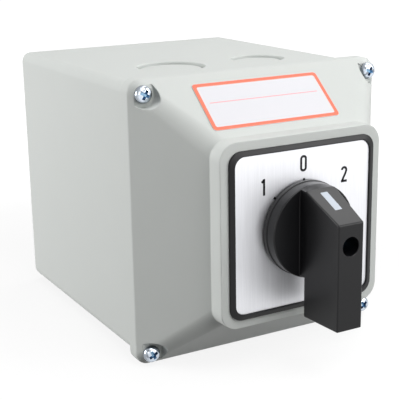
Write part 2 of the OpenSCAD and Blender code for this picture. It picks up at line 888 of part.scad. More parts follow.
base_box();
cover();
cover_gasket();
cover_screws();
label();
dial_frame();
dial_plate();
panel_screws();
panel_gasket();
shaft_seal();
mounting_flange();
detent_housing();
star_wheel();
stop_lever();
detent_plunger(-1);  // detent_plunger_left
detent_plunger(1);  // detent_plunger_right
detent_spring(-1);  // detent_spring_left
detent_spring(1);  // detent_spring_right
for (i = [0:deck_count - 1]) {
    deck(i);
    cam(i);
    fixed_contacts(i);
    plunger(i, -1);
    plunger(i, 1);
    bridge(i, -1);
    bridge(i, 1);
}
terminal_screws();
contact_springs(-1);  // contact_springs_left
contact_springs(1);  // contact_springs_right
end_plate();
tie_bolts();
tie_washers();
shaft();
retaining_ring();
handle();
handle_marker();
handle_screw();
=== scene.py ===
import bmesh
import bpy
import json
import math
from mathutils import Matrix, Vector


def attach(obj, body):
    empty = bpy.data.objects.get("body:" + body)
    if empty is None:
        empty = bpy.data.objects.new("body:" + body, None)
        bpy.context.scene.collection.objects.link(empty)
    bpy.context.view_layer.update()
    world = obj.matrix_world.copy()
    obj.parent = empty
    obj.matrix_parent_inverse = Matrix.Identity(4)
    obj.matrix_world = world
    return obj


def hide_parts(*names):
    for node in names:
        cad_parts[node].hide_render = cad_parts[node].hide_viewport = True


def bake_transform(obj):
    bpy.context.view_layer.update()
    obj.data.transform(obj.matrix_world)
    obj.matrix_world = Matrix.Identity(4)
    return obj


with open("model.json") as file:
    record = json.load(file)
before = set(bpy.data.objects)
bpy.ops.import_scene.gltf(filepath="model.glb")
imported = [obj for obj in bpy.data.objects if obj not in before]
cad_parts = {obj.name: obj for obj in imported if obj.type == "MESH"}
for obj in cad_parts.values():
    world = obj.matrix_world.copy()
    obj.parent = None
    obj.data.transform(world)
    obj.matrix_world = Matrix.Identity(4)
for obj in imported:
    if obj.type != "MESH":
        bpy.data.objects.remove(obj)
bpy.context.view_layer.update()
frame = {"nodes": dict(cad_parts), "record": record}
scene = bpy.context.scene
mm = 0.001
print("frame loaded:", len(frame["nodes"]), "nodes")

# Sizes are in millimetres as (right, up, depth from the wall)

cameraView = {
    "azimuth": -28.865,  # degrees from straight ahead, minus is from the left
    "elevation": 15.4,
    "roll": -1.0472,
    "distance": 440.449,
    "target": (-0.7943, -7.6878, 70.0),
    "lens": 91.406,
    "sensor": 36.0,
}


def place(x, up, depth):
    return Vector((x, -depth, up)) * mm


def aim(azimuth, elevation):
    a, e = math.radians(azimuth), math.radians(elevation)
    return Vector((math.sin(a) * math.cos(e), -math.cos(a) * math.cos(e), math.sin(e)))


def addCamera(view):
    back = aim(view["azimuth"], view["elevation"])
    side = Vector((0, 0, 1)).cross(back).normalized()
    up = back.cross(side)
    c, s = math.cos(math.radians(view["roll"])), math.sin(math.radians(view["roll"]))
    turned = Matrix((side * c + up * s, up * c - side * s, back)).transposed().to_4x4()
    data = bpy.data.cameras.new("camera")
    data.lens, data.sensor_width, data.sensor_height = view["lens"], view["sensor"], view["sensor"]
    data.clip_start, data.clip_end = 0.01, 60
    camera = bpy.data.objects.new("camera", data)
    camera.matrix_world = Matrix.Translation(place(*view["target"]) + back * view["distance"] * mm) @ turned
    scene.collection.objects.link(camera)
    scene.camera = camera


addCamera(cameraView)
scene.view_settings.view_transform = "Standard"
print("camera placed")

# Lamps: direction from the object, distance and side in metres, and strength in watts
lampSet = {
    "leftRear": {"azimuth": -117, "elevation": 10, "distance": 0.9, "side": 0.5, "watts": 7.2},
    "leftFront": {"azimuth": -32, "elevation": 14, "distance": 0.9, "side": 0.3, "watts": 0.45},
    "overhead": {"azimuth": 115, "elevation": 56, "distance": 0.9, "side": 0.6, "watts": 2.9},
    "zenith": {"azimuth": 0, "elevation": 84, "distance": 0.9, "side": 0.6, "watts": 1.2},
    "frontHigh": {"azimuth": 5, "elevation": 50, "distance": 0.9, "side": 0.5, "watts": 3.2},
    "front": {"azimuth": 22, "elevation": 8, "distance": 0.9, "side": 0.6, "watts": 2.6},
    "rightFront": {"azimuth": 50, "elevation": 25, "distance": 0.9, "side": 0.5, "watts": 2.6},
}
# The white surroundings light the object weakly and are seen and mirrored at full strength.
# The floor's own glow, as it is seen, grows from near to far.
surroundings = {
    "onObject": 0.02, "seen": 1.0,
    "floorColour": 0.14, "floorUp": -55.2, "glowNear": 0.86, "glowFar": 1.04, "near": 130.0, "far": 320.0,
}


class Wire:
    def __init__(self, finish, socket):
        self.finish, self.socket = finish, socket

    def maths(self, operation, other):
        return self.finish.node("ShaderNodeMath", {"operation": operation}, {0: self, 1: other})

    def __add__(self, other):
        return self.maths("ADD", other)

    def __sub__(self, other):
        return self.maths("SUBTRACT", other)

    def __mul__(self, other):
        return self.maths("MULTIPLY", other)

    def __pow__(self, other):
        return self.maths("POWER", other)

    __radd__ = __add__
    __rmul__ = __mul__


class Finish:
    def __init__(self, name, colour=(0.5, 0.5, 0.5), **constants):
        self.material = bpy.data.materials.new(name)
        self.material.use_nodes = True
        self.tree = self.material.node_tree
        self.shader = self.tree.nodes["Principled BSDF"]
        self.colour = tuple(colour) + (1,)
        self.feed(self.shader, {"Base Color": self.colour})
        self.feed(self.shader, constants)
        self.where = Wire(self, self.tree.nodes.new("ShaderNodeTexCoord").outputs["Object"])

    def feed(self, node, values):
        for key, value in values.items():
            if isinstance(value, Wire):
                self.tree.links.new(value.socket, node.inputs[key])
            else:
                node.inputs[key].default_value = value

    def node(self, kind, settings=None, values=None, output=0):
        made = self.tree.nodes.new(kind)
        for key, value in (settings or {}).items():
            setattr(made, key, value)
        self.feed(made, values or {})
        return Wire(self, made.outputs[output])

    def stretched(self, x, y, z):  # coordinates stretched by a factor on each axis
        return self.node("ShaderNodeVectorMath", {"operation": "MULTIPLY"}, {0: self.where, 1: (x, y, z)})

    def noise(self, size, detail=2.0, rough=0.5, where=None):  # cloudy values 0 to 1, size in millimetres
        values = {"Vector": where or self.where, "Scale": 1 / (size * mm), "Detail": detail, "Roughness": rough}
        return self.node("ShaderNodeTexNoise", None, values)

    def spread(self, wire, low, high, start=0.3, end=0.7):  # values from start to end become low to high
        values = {0: wire, 1: start, 2: end, 3: low, 4: high}
        return self.node("ShaderNodeMapRange", {"clamp": True}, values)

    def tint(self, factor, first, second):
        values = {0: factor, 6: first, 7: second}
        return self.node("ShaderNodeMix", {"data_type": "RGBA"}, values, 2)

    def shaded(self, factor):  # the plain colour made lighter or darker by a factor near 1
        grey = self.node("ShaderNodeCombineColor", None, {0: factor, 1: factor, 2: factor})
        settings = {"data_type": "RGBA", "blend_type": "MULTIPLY"}
        return self.node("ShaderNodeMix", settings, {0: 1.0, 6: self.colour, 7: grey}, 2)

    def bump(self, height, distance):  # distance in millimetres
        return self.node("ShaderNodeBump", None, {"Height": height, "Distance": distance * mm, "Strength": 1.0})

    def done(self, **values):
        names = {"colour": "Base Color", "roughness": "Roughness", "normal": "Normal"}
        self.feed(self.shader, {names[key]: value for key, value in values.items()})
        return self.material


def mouldedPlastic(name, colour, shine, grain, mottle=0.03, specular=0.5):
    f = Finish(name, colour, **{"IOR": 1.46, "Specular IOR Level": specular})
    cloud = f.noise(28, 3.0)
    fine = f.noise(grain["size"], 2.0, 0.6)
    pits = f.noise(grain["size"] * 3.2, 3.0, 0.55)
    return f.done(
        colour=f.shaded(1.0 + (cloud - 0.5) * mottle * 2 + (fine - 0.5) * mottle),
        roughness=f.spread(cloud * 0.6 + pits * 0.4, *shine),
        normal=f.bump(fine * 0.6 + pits * 0.4, grain["height"]),
    )


def platedMetal(name, colour, shine, grain=0.6, mottle=0.05, metallic=1.0):
    f = Finish(name, colour, Metallic=metallic)
    cloud, fine = f.noise(3.5, 3.0), f.noise(grain, 3.0, 0.6)
    return f.done(
        colour=f.shaded(1.0 + (cloud - 0.5) * mottle * 2),
        roughness=f.spread(cloud * 0.5 + fine * 0.5, *shine),
        normal=f.bump(fine, 0.004),
    )


def brushedPlate(name, colour):
    f = Finish(name, colour, Metallic=1.0)
    streak = f.noise(0.3, 3.0, 0.7, f.stretched(2.4, 1.0, 0.02))  # fine upright brushing
    broad = f.noise(1.4, 2.0, 0.6, f.stretched(1.8, 1.0, 0.05))
    cloud = f.noise(30, 2.0)
    return f.done(
        colour=f.shaded(1.0 + (streak - 0.5) * 0.26 + (broad - 0.5) * 0.12),
        roughness=f.spread(streak * 0.5 + broad * 0.2 + cloud * 0.3, 0.38, 0.48),
        normal=f.bump(streak * 0.9 + broad * 0.1, 0.018),
    )


def screwZinc(name, colour, shine, head):
    # Bright plating with painted dark reflections in patches and round the head's rim, and a dark blue painted
    # shade down in the cross recess
    f = Finish(name, colour, Metallic=1.0)
    cloud, fine = f.noise(1.6, 3.0), f.noise(0.3, 3.0, 0.6)
    x, y, z = [f.node("ShaderNodeSeparateXYZ", None, {"Vector": f.where}, k) for k in range(3)]
    across = x.maths("ABSOLUTE", 0) - head["at"][0] * mm
    up = z.maths("ABSOLUTE", 0) - head["at"][1] * mm
    away = (across * across + up * up) ** 0.5
    # Mask of the cross recess, which gets a dark blue painted shade
    sunk = away.maths("LESS_THAN", head["reach"] * mm) * y.maths("GREATER_THAN", -head["depth"] * mm)
    # Painted dark reflection: the plating grows darker towards the head's rim
    rim = f.spread(away, 1.0, head["paintedRimReflection"], *[r * mm for r in head["rim"]])
    # Painted dark reflections: darker patches spread over the plating
    paintedReflections = f.spread(f.noise(head["patch"], 1.0), 1.0, head["paintedReflectionDarkness"], head["patchFrom"], head["patchTo"])
    plain = f.shaded((1.0 + (cloud - 0.5) * 0.16) * rim * paintedReflections)
    return f.done(
        # Inside the recess the colour becomes its dark blue painted shade
        colour=f.tint(sunk, plain, head["recess"] + (1,)),
        roughness=f.spread(cloud * 0.5 + fine * 0.5, *shine),
        normal=f.bump(fine, 0.006),
    )


def softRubber(name, colour):
    f = Finish(name, colour, **{"IOR": 1.5})
    cloud, fine = f.noise(9, 3.0), f.noise(0.35, 3.0, 0.6)
    return f.done(
        colour=f.shaded(1.0 + (cloud - 0.5) * 0.25),
        roughness=f.spread(cloud, 0.62, 0.8),
        normal=f.bump(fine, 0.03),
    )


def printedFilm(name, colour, shine=(0.3, 0.42), specular=0.5):  # printed label film and ink
    f = Finish(name, colour, **{"IOR": 1.46, "Specular IOR Level": specular})
    cloud, fine = f.noise(14, 2.0), f.noise(0.5, 2.0)
    return f.done(
        colour=f.shaded(1.0 + (cloud - 0.5) * 0.03),
        roughness=f.spread(cloud, *shine),
        normal=f.bump(fine, 0.003),
    )


# Size and height of the surface's grain in millimetres
caseGrain = {"size": 0.32, "height": 0.012}
handleGrain = {"size": 0.3, "height": 0.004}
partGrain = {"size": 0.4, "height": 0.012}
fineGrain = {"size": 0.4, "height": 0.01}
handleBlack = (0.0045, 0.0045, 0.0055)
# Screw head colour marks: the rim and the patches are painted dark reflections, and the recess colour is
# painted shade
screwHead = {
    "at": (50.0, 49.9), "reach": 2.15, "depth": 120.25, "recess": (0.2, 0.33, 0.46),
    "rim": (2.4, 3.1), "paintedRimReflection": 0.5, "patch": 1.9, "patchFrom": 0.54, "patchTo": 0.62, "paintedReflectionDarkness": 0.45,
}
finishes = {
    "grey_plastic": mouldedPlastic("greyPlastic", (0.622, 0.645, 0.625), (0.48, 0.6), caseGrain, 0.03, 0.36),
    "black_plastic": mouldedPlastic("blackPlastic", handleBlack, (0.3, 0.38), handleGrain, 0.15, 0.33),
    "dark_plastic": mouldedPlastic("darkPlastic", (0.05, 0.05, 0.055), (0.4, 0.55), partGrain, 0.08),
    "cream_plastic": mouldedPlastic("creamPlastic", (0.71, 0.67, 0.56), (0.4, 0.52), partGrain),
    "white_plastic": mouldedPlastic("whitePlastic", (0.83, 0.83, 0.8), (0.35, 0.48), fineGrain),
    "red_plastic": mouldedPlastic("redPlastic", (0.52, 0.075, 0.045), (0.36, 0.48), fineGrain),
    "rubber": softRubber("rubber", (0.03, 0.03, 0.032)),
    "zinc_steel": platedMetal("zincSteel", (0.66, 0.7, 0.76), (0.12, 0.26)),
    "bare_steel": platedMetal("bareSteel", (0.55, 0.55, 0.56), (0.24, 0.4)),
    "plate_aluminium": brushedPlate("plateAluminium", (0.65, 0.655, 0.68)),
    "contact_brass": platedMetal("contactBrass", (0.72, 0.5, 0.24), (0.2, 0.36)),
    "label_white": printedFilm("labelWhite", (0.735, 0.73, 0.765), (0.42, 0.52)),
    "marker_white": printedFilm("markerWhite", (0.52, 0.57, 0.64), (0.35, 0.5)),
}
crownedZinc = screwZinc("crownedZinc", (0.62, 0.68, 0.76), (0.1, 0.2), screwHead)
borderInk = printedFilm("borderInk", (0.92, 0.19, 0.105), (0.45, 0.55))
lineInk = printedFilm("lineInk", (0.92, 0.36, 0.38))
blackInk = printedFilm("blackInk", (0.008, 0.008, 0.009), (0.5, 0.6), 0.2)
blueZinc = platedMetal("blueZinc", (0.3, 0.62, 0.82), (0.4, 0.5), metallic=0.3)
print("finishes made")


# Carried-over nodes keep their CAD mesh and take a finish on their slots
for row in frame["record"]["subparts"]:
    node, finish = frame["nodes"][row["node"]], finishes[row["material_slot"]]
    if row["node"] == "handle_screw":
        finish = blueZinc
    if not node.material_slots:
        node.data.materials.append(finish)
    for slotNow in node.material_slots:
        slotNow.material = finish


def softPath(points, steps=4):
    # points are tuples of coordinates with, last, how far from the point its rounding starts
    path = []
    for i, point in enumerate(points):
        here, trim = Vector(point[:-1]), point[-1]
        if trim == 0 or i in (0, len(points) - 1):
            path.append(here)
            continue
        before, after = Vector(points[i - 1][:-1]), Vector(points[i + 1][:-1])
        first = here + (before - here).normalized() * trim
        last = here + (after - here).normalized() * trim
        for k in range(steps + 1):
            t = k / steps
            path.append(first * (1 - t) ** 2 + here * 2 * t * (1 - t) + last * t * t)
    return path


def roundSquare(half, radius, depth, steps=12, tall=None):
    tall = half if tall is None else tall
    corners = ((1, 1, 0), (-1, 1, 90), (-1, -1, 180), (1, -1, 270))
    ring = []
    for sx, sy, start in corners:
        cx, cy = sx * (half - radius), sy * (tall - radius)
        for k in range(steps + 1):
            a = math.radians(start + 90 * k / steps)
            ring.append(place(cx + radius * math.cos(a), cy + radius * math.sin(a), depth))
    return ring


def circle(radius, depth, steps, centre=(0, 0)):
    turns = [2 * math.pi * k / steps for k in range(steps)]
    return [place(centre[0] + radius * math.cos(a), centre[1] + radius * math.sin(a), depth) for a in turns]


def skin(rings, mesh=None, move=None):
    # Faces between rings of equally many points, closed at both ends
    bm = mesh or bmesh.new()
    rows = [[bm.verts.new(move @ p if move else p) for p in ring] for ring in rings]
    n = len(rows[0])
    for low, high in zip(rows, rows[1:]):
        for k in range(n):
            bm.faces.new((low[k], low[(k + 1) % n], high[(k + 1) % n], high[k]))
    bm.faces.new(rows[0][::-1])
    bm.faces.new(rows[-1])
    return bm


def lathe(profile, steps=48, centre=(0, 0), mesh=None, move=None):
    # profile runs as (radius, depth, rounding) and both of its ends are closed flat
    return skin([circle(r, d, steps, centre) for r, d in softPath(profile)], mesh, move)


def asObject(name, bm):
    bmesh.ops.remove_doubles(bm, verts=bm.verts, dist=1e-7)
    bmesh.ops.recalc_face_normals(bm, faces=bm.faces)
    data = bpy.data.meshes.new(name)
    bm.to_mesh(data)
    bm.free()
    made = bpy.data.objects.new(name, data)
    scene.collection.objects.link(made)
    return made


def applied(thing):
    # The mesh as its modifiers leave it
    graph = bpy.context.evaluated_depsgraph_get()
    fixed = bpy.data.meshes.new_from_object(thing.evaluated_get(graph))
    thing.modifiers.clear()
    thing.data = fixed
    return thing


def combine(thing, tool, operation="DIFFERENCE"):
    step = thing.modifiers.new("cut", "BOOLEAN")
    step.operation, step.solver, step.object = operation, "EXACT", tool
    applied(thing)
    bpy.data.objects.remove(tool)
    return thing


def soften(thing, chosen, width, steps=3):
    # Rounds the edges that the test chooses
    bm = bmesh.new()
    bm.from_mesh(thing.data)
    bmesh.ops.remove_doubles(bm, verts=bm.verts, dist=0.02 * mm)
    bmesh.ops.dissolve_degenerate(bm, edges=bm.edges, dist=0.005 * mm)
    edges = [e for e in bm.edges if len(e.link_faces) == 2 and chosen(e)]
    bmesh.ops.bevel(bm, geom=edges, offset=width * mm, offset_type="OFFSET", segments=steps, profile=0.5,
                    affect="EDGES", clamp_overlap=False)
    bm.to_mesh(thing.data)
    bm.free()
    return thing


def finishPiece(thing, slotName, body="housing", stands=(), finish=None, angle=32):
    # Smooth shading with flat faces kept flat, its finish, its body and the node that it stands for
    thing.data.shade_smooth()
    thing.data.set_sharp_from_angle(angle=math.radians(angle))
    normals = thing.modifiers.new("normals", "WEIGHTED_NORMAL")
    normals.keep_sharp = True
    applied(thing)
    thing.data.materials.clear()
    thing.data.materials.append(finish or finishes[slotName])
    if body:
        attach(thing, body)
    if stands:
        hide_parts(*stands)
    return thing


# Box
box = {
    "half": 53.0, "corner": 4.0, "depth": 112.0, "back": 3.2, "backEdge": 1.0, "mouthEdge": 0.4,
    "mouth": 50.0, "mouthCorner": 2.5, "post": 4.6, "postHole": 1.8, "postHoleDepth": 94.0,
    "wallHole": 3.0, "wallHoleAt": 38.0, "wallHoleEdge": 0.3, "screws": (50.0, 49.9),
    "knockouts": ((-18.5, 13.8), (22.5, 11.0)), "knockoutDepth": 80.0, "sunk": 1.0, "sunkEdge": 0.3,
    "groove": (1.3, 2.3), "grooveEdge": (0.3, 0.2),
}


def fourCorners(at):
    return [(sx * at[0], sy * at[1]) for sx in (1, -1) for sy in (1, -1)]


def makeBox(s):
    h, c = s["half"], s["corner"]
    profile = [
        (h - 2, c - 2, 0, 0), (h, c, 0, s["backEdge"]),
        (h, c, s["depth"], s["mouthEdge"]), (h - 1, c - 1, s["depth"], 0),
    ]
    shell = asObject("boxShell", skin([roundSquare(*p) for p in softPath(profile)]))
    levels = (s["back"], s["depth"] + 5)
    room = asObject("room", skin([roundSquare(s["mouth"], s["mouthCorner"], d) for d in levels]))
    posts, holes = bmesh.new(), bmesh.new()
    for centre in fourCorners(s["screws"]):
        lathe([(s["post"], -5, 0), (s["post"], s["depth"] + 9, 0)], 32, centre, posts)
        lathe([(s["postHole"], s["postHoleDepth"], 0), (s["postHole"], s["depth"] + 3, 0)], 24, centre, holes)
    for centre in fourCorners((s["wallHoleAt"], s["wallHoleAt"])):
        r, e = s["wallHole"], s["wallHoleEdge"]
        lathe([(r + e, -2, 0), (r + e, 0, 0), (r, e, 0), (r, s["back"] + 2, 0)], 32, centre, holes)
    for x, r in s["knockouts"]:
        for side in (1, -1):
            turned = Matrix.Rotation(-side * math.pi / 2, 4, "X")
            moved = Matrix.Translation(place(x, 0, s["knockoutDepth"])) @ turned
            edge, top = s["sunkEdge"], h - s["sunk"]
            (wide, deep), (slantIn, slantDown) = s["groove"], s["grooveEdge"]
            rings = [
                (r - wide - slantIn, top, 0), (r - wide, top - slantDown, 0), (r - wide, h - deep, 0),
                (r, h - deep, 0), (r, h - edge, edge / 2), (r + edge, h, edge / 2), (r + edge + 1, h + 1, 0),
            ]
            lathe(rings, 72, (0, 0), holes, moved)
    combine(room, asObject("posts", posts))
    combine(shell, room)
    combine(shell, asObject("holes", holes))
    return finishPiece(shell, "grey_plastic", stands=["base_box"])


makeBox(box)
print("box made")

# Cover. Its hollow is given as half width, corner radius and depth, from the opening to the inside.
cover = {
    "half": 55.0, "corner": 5.0, "skirt": 110.0, "seat": 113.4, "rim": 115.6, "foot": 139.3, "panel": 146.3,
    "panelHalf": 34.9, "panelCorner": 7.0, "ceiling": 143.0, "wall": 2.8,
    "skirtEdge": 0.4, "rimEdge": 0.55, "footEdge": 0.3, "panelEdge": 0.55,
    "opening": (53.15, 4.15), "mouth": (50.0, 2.5, 117.15), "inside": (32.1, 4.2, 138.25),
    "screws": (50.0, 49.9), "pocket": 5.0, "pocketFloor": 117.8, "pocketEdge": 0.35, "screwHole": 1.85,
    "panelScrews": 24.0, "panelHole": 2.1, "panelHead": (3.7, 144.1), "shaftHole": 9.0,
}


def makeCover(s):
    h, c, p, q = s["half"], s["corner"], s["panelHalf"], s["panelCorner"]
    profile = [
        (h - 1.4, c - 1.4, s["skirt"], 0), (h, c, s["skirt"], s["skirtEdge"]),
        (h, c, s["rim"], s["rimEdge"]), (p, q, s["foot"], s["footEdge"]),
        (p, q, s["panel"], s["panelEdge"]), (p - 1.5, q - 1.5, s["panel"], 0),
    ]
    shell = asObject("coverShell", skin([roundSquare(*ring) for ring in softPath(profile)]))
    inner = [
        (*s["opening"], s["skirt"] - 3), (*s["opening"], s["seat"]), (*s["mouth"][:2], s["seat"]),
        s["mouth"], s["inside"], (*s["inside"][:2], s["ceiling"]),
    ]
    room = asObject("room", skin([roundSquare(*ring) for ring in inner]))
    bosses, cuts = bmesh.new(), bmesh.new()
    for centre in fourCorners(s["screws"]):
        r = s["pocket"]
        lathe([(r + s["wall"], s["seat"], 0), (r + s["wall"], s["panel"], 0)], 48, centre, bosses)
        hole, floor = s["screwHole"], s["pocketFloor"]
        profile = [(hole, s["skirt"] - 4, 0), (hole, floor, 0), (r, floor, 0), (r, s["panel"], 0)]
        lathe(profile, 64, centre, cuts)
    for centre in fourCorners((s["panelScrews"], s["panelScrews"])):
        hole, (head, seat) = s["panelHole"], s["panelHead"]
        low, high = s["ceiling"] - 2, s["panel"] + 2
        lathe([(hole, low, 0), (hole, seat, 0), (head, seat, 0), (head, high, 0)], 32, centre, cuts)
    lathe([(s["shaftHole"], s["ceiling"] - 2, 0), (s["shaftHole"], s["panel"] + 2, 0)], 48, (0, 0), cuts)
    combine(room, asObject("bosses", bosses))
    combine(shell, room)
    combine(shell, asObject("cuts", cuts))

    centres = [place(x, up, 0) for x, up in fourCorners(s["screws"])]

    def inPocket(face):
        mid = face.calc_center_median()
        near = min((Vector((mid.x, 0, mid.z)) - c).length for c in centres)
        return near < (s["pocket"] + 0.05) * mm and -mid.y > (s["pocketFloor"] - 0.05) * mm

    def pocketEdge(edge):
        return inPocket(edge.link_faces[0]) != inPocket(edge.link_faces[1])

    soften(shell, pocketEdge, s["pocketEdge"])
    return finishPiece(shell, "grey_plastic", stands=["cover"])


makeCover(cover)
print("cover made")

# Cover screws, each with its own turn of the recess. The crown is given as
# share of the head's radius, distance below its top and rounding.
coverScrew = {
    "at": (50.0, 49.9), "seat": 117.8, "head": 3.3, "height": 3.0, "side": 1.2,
    "crown": ((0.93, 0.95, 0.5), (0.62, 0.16, 0.9)), "top": 0.3, "length": 18.0,
    "tip": 0.7, "thread": 1.75, "threadDepth": 0.3, "pitch": 0.9,
    "recess": (2.1, 0.62), "recessFloor": (1.2, 0.4), "recessDepth": 1.6,
    "turns": {(1, 1): 20, (1, -1): 50, (-1, 1): 28, (-1, -1): 62},
}


def crossShape(reach, half, depth):
    # A plus sign with its inner corners, as one ring of points
    ring = []
    for k in range(4):
        c, s = math.cos(k * math.pi / 2), math.sin(k * math.pi / 2)
        for x, y in ((reach, -half), (reach, half), (half, half)):
            ring.append(place(x * c - y * s, x * s + y * c, depth))
    return ring


def recessTool(s, top):
    floor = crossShape(*s["recessFloor"], top - s["recessDepth"])
    return skin([floor, crossShape(*s["recess"], top + 0.2), crossShape(*s["recess"], top + 1)])


def makeCoverScrews(s):
    screws = bmesh.new()
    ridges = []
    count = int(s["length"] / s["pitch"]) - 1
    for k in range(count):
        d = s["seat"] - s["length"] + 0.6 + k * s["pitch"]
        ridges += [(s["thread"] - s["threadDepth"], d, 0), (s["thread"], d + s["pitch"] * 0.5, 0)]
    r, top = s["head"], s["seat"] + s["height"]
    neck, seat = s["thread"] - 0.1, s["seat"]
    shank = [(s["tip"], seat - s["length"], 0), *ridges, (neck, seat - 0.3, 0), (neck, seat, 0)]
    side = [(r - 0.4, seat, 0), (r, seat + 0.35, 0.2), (r, seat + s["side"], 0.3)]
    crown = [(r * share, top - below, rounding) for share, below, rounding in s["crown"]]
    profile = [*shank, *side, *crown, (s["top"], top, 0)]
    for (sx, sy), turn in s["turns"].items():
        one = asObject("screw", lathe(profile, 48))
        combine(one, asObject("recess", recessTool(s, top)))
        one.data.transform(Matrix.Rotation(math.radians(turn), 4, "Y"))
        one.data.transform(Matrix.Translation(place(sx * s["at"][0], sy * s["at"][1], 0)))
        screws.from_mesh(one.data)
        bpy.data.objects.remove(one)
    whole = asObject("coverScrews", screws)
    return finishPiece(whole, "zinc_steel", stands=["cover_screws"], finish=crownedZinc, angle=38)


makeCoverScrews(coverScrew)
print("cover screws made")

# Label on the upper slope: a bare white film with a printed border and one line
label = {
    "width": 54.7, "height": 22.0, "corner": 1.3, "thick": 0.25, "edge": 0.06, "topIn": 0.1,
    "border": 1.5, "inkCorner": 0.8, "ink": 0.02,
    "fromRim": 5.3, "shift": -3.8, "rim": (55.0, 115.6), "run": 20.1, "rise": 23.7,
    "line": {"down": 9.4, "start": 3.7, "end": 50.8, "thick": 0.32},
}


def slopeFrame(s):
    # Matrix from (right, up the slope, out of it) to the upper slope, its zero at the label's middle
    length = math.hypot(s["run"], s["rise"])
    down = place(0, -s["run"] / length, s["rise"] / length) / mm
    out = place(0, s["rise"] / length, s["run"] / length) / mm
    middle = place(s["shift"], *s["rim"]) + down * (s["fromRim"] + s["height"] / 2) * mm
    return Matrix.Translation(middle) @ Matrix((Vector((1, 0, 0)), -down, out)).transposed().to_4x4()


def flatRing(width, height, radius, out, steps=6):
    ring = roundSquare(width / 2, radius, 0, steps, height / 2)
    return [Vector((p.x, p.z, out * mm)) for p in ring]


def makeLabel(s):
    move = slopeFrame(s)
    w, h, t, b = s["width"], s["height"], s["thick"], s["border"]
    topWidth, topHeight = w - s["topIn"], h - s["topIn"]
    film = skin([flatRing(w, h, s["corner"], 0), flatRing(w, h, s["corner"], t - s["edge"]),
                 flatRing(topWidth, topHeight, s["corner"], t)], None, move)
    finishPiece(asObject("labelFilm", film), "label_white", stands=["label"])
    outer = [flatRing(topWidth, topHeight, s["corner"], o) for o in (t - 0.01, t + s["ink"])]
    inner = [flatRing(w - 2 * b, h - 2 * b, s["inkCorner"], o) for o in (t + s["ink"], t - 0.01)]
    ink = bmesh.new()
    rows = [[ink.verts.new(move @ p) for p in ring] for ring in (*outer, *inner)]
    n = len(rows[0])
    for i in range(4):
        for k in range(n):
            low, high = rows[i], rows[(i + 1) % 4]
            ink.faces.new((low[k], low[(k + 1) % n], high[(k + 1) % n], high[k]))
    finishPiece(asObject("labelBorder", ink), "label_white", finish=borderInk)
    line = s["line"]
    long, middle = line["end"] - line["start"], (line["start"] + line["end"] - w) / 2
    shift = move @ Matrix.Translation(Vector((middle, h / 2 - line["down"], 0)) * mm)
    strip = skin([flatRing(long, line["thick"], 0.05, o, 2) for o in (t - 0.01, t + s["ink"])], None, shift)
    finishPiece(asObject("labelLine", strip), "label_white", finish=lineInk)


makeLabel(label)
print("label made")

# Dial: black frame, brushed plate and its printed numbers
dial = {
    "half": 31.5, "corner": 5.0, "back": 146.3, "front": 147.7, "floor": 146.7, "backEdge": 0.15,
    "inner": 29.5, "innerCorner": 4.0, "hole": (10.0, 140, 150), "edge": 0.25, "slant": 0.55, "lip": 0.35,
    "plate": (29.4, 3.9, 146.7, 147.1), "plateEdge": 0.15,
}


def shaftHole(radius, back, front):
    return asObject("hole", lathe([(radius, back, 0), (radius, front, 0)], 64))


def makeDial(s):
    h, c, e = s["half"], s["corner"], s["backEdge"]
    lip = s["inner"] + s["lip"]
    body = [
        (h - e, c - e, s["back"], 0), (h, c, s["back"] + e, 0), (h, c, s["front"] - s["slant"], s["edge"]),
        (lip, s["innerCorner"] + s["lip"], s["front"], 0.15),
        (s["inner"] - 0.1, s["innerCorner"] - 0.1, s["front"], 0),
    ]
    border = asObject("dialFrame", skin([roundSquare(*ring) for ring in softPath(body)]))
    well = [(s["inner"], s["innerCorner"], d) for d in (s["floor"], s["front"] + 1)]
    combine(border, asObject("well", skin([roundSquare(*ring) for ring in well])))
    combine(border, shaftHole(*s["hole"]))
    finishPiece(border, "black_plastic", stands=["dial_frame"])
    ph, pc, low, high = s["plate"]
    e = s["plateEdge"]
    rings = softPath([(ph, pc, low, 0), (ph, pc, high, e), (ph - 0.5, pc - 0.5, high, 0)], 3)
    plate = asObject("dialPlate", skin([roundSquare(*ring) for ring in rings]))
    combine(plate, shaftHole(*s["hole"]))
    finishPiece(plate, "plate_aluminium", stands=["dial_plate"])


makeDial(dial)

# Printed numbers and ticks. The flag of the one runs as (right, below the top), and the
# neck of the two in shares of its half width and half height.
digits = {
    "height": 6.1, "width": 2.95, "stroke": 0.9, "depth": 147.1, "thick": 0.03,
    "flag": ((0.3, 0.35), (-0.15, 0.85), (-0.75, 1.25)), "neck": ((0.6, 0.12), (-0.35, -0.55), (-0.85, -1)),
    "stem": 0.3, "foot": 0.3,
    "places": {"1": (-17.5, 17.3), "0": (-0.3, 23.9), "2": (18.0, 17.4)},
    "ticks": {"from": 17.4, "to": 18.35, "width": 0.9, "turns": {"1": 45, "0": 0, "2": -45}},
}


def ribbon(bm, points, width, depth, thick):
    # A flat stroke of even width along the points
    sides = []
    for i, p in enumerate(points):
        before, after = points[max(i - 1, 0)], points[min(i + 1, len(points) - 1)]
        along = (Vector(after) - Vector(before)).normalized()
        across = Vector((-along.y, along.x)) * width / 2
        if 0 < i < len(points) - 1:
            first = (Vector(p) - Vector(before)).normalized()
            across = across / max(0.5, first.dot(along))
        sides.append((Vector(p) + across, Vector(p) - across))
    rows = []
    for a, b in sides:
        square = ((a, depth), (b, depth), (b, depth + thick), (a, depth + thick))
        rows.append([bm.verts.new(place(*q, d)) for q, d in square])
    for low, high in zip(rows, rows[1:]):
        for k in range(4):
            bm.faces.new((low[k], low[(k + 1) % 4], high[(k + 1) % 4], high[k]))
    bm.faces.new(rows[0][::-1])
    bm.faces.new(rows[-1])


